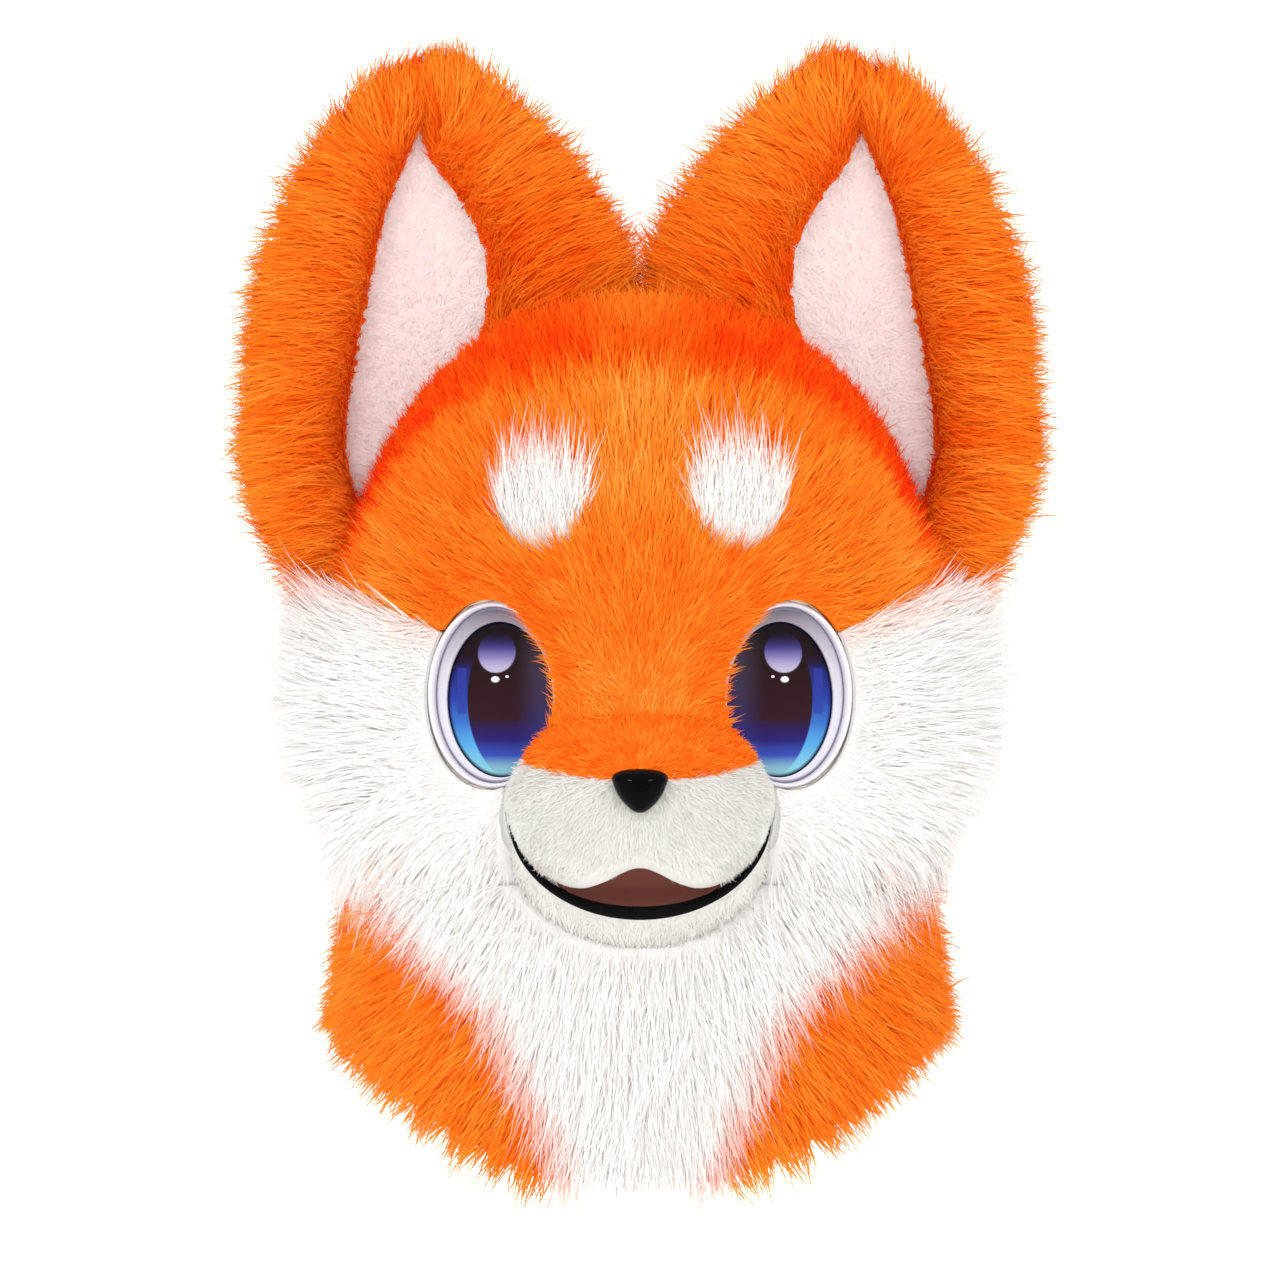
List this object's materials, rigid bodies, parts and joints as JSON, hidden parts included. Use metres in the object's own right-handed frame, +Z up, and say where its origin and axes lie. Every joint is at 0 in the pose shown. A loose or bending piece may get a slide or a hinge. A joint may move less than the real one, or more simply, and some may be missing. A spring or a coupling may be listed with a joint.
{
  "type": "fox costume head",
  "caption": "Soft hollow costume head of a fox with tall cupped ears, a short muzzle, open smiling mouth, large domed eyes and a hanging fur neck, worn over the wearer's own head.",
  "frame": {"origin": "the point inside the foam shell that rests on the wearer's crown, on the midplane", "axes": "+Z up, -Y the way the face looks, +X to the face's right as the front view shows it"},
  "size_m": [0.3468, 0.333, 0.5055],
  "materials": {
    "foam": "padded foam under knit cloth, matte",
    "fur_orange": "deep-pile fake fur, orange",
    "fur_white": "deep-pile fake fur, warm white",
    "fur_orange_short": "short-pile fake fur, orange",
    "fur_white_short": "short-pile fake fur, warm white",
    "nose_gloss": "smooth glossy black",
    "mouth_cloth": "matte pink-brown cloth",
    "lip_fleece": "matte black fleece",
    "eye_rim": "pale translucent plastic, satin",
    "eye_white": "printed mesh on plastic, pale lavender",
    "eye_iris": "printed mesh on plastic, black to blue",
    "ear_plush": "short-pile plush, pale pink"
  },
  "bodies": {
    "root": {"head_foam": "foam", "forehead_fur": "fur_orange", "crown_back_fur": "fur_orange", "brow_fur_left": "fur_white", "brow_fur_right": "fur_white", "cheek_fur_left": "fur_white", "cheek_fur_right": "fur_white", "muzzle_top_fur": "fur_orange_short", "muzzle_fur": "fur_white_short", "nose": "nose_gloss", "jaw_fur": "fur_white_short", "mouth_lining": "mouth_cloth", "lower_lip": "lip_fleece", "eye_rim_left": "eye_rim", "eye_white_left": "eye_white", "eye_iris_left": "eye_iris", "eye_rim_right": "eye_rim", "eye_white_right": "eye_white", "eye_iris_right": "eye_iris", "ear_fur_left": "fur_orange", "ear_lining_left": "ear_plush", "ear_fur_right": "fur_orange", "ear_lining_right": "ear_plush", "neck_bib_fur": "fur_white", "neck_side_fur_left": "fur_orange", "neck_side_fur_right": "fur_orange", "neck_back_fur": "fur_orange"}
  },
  "joints": []
}
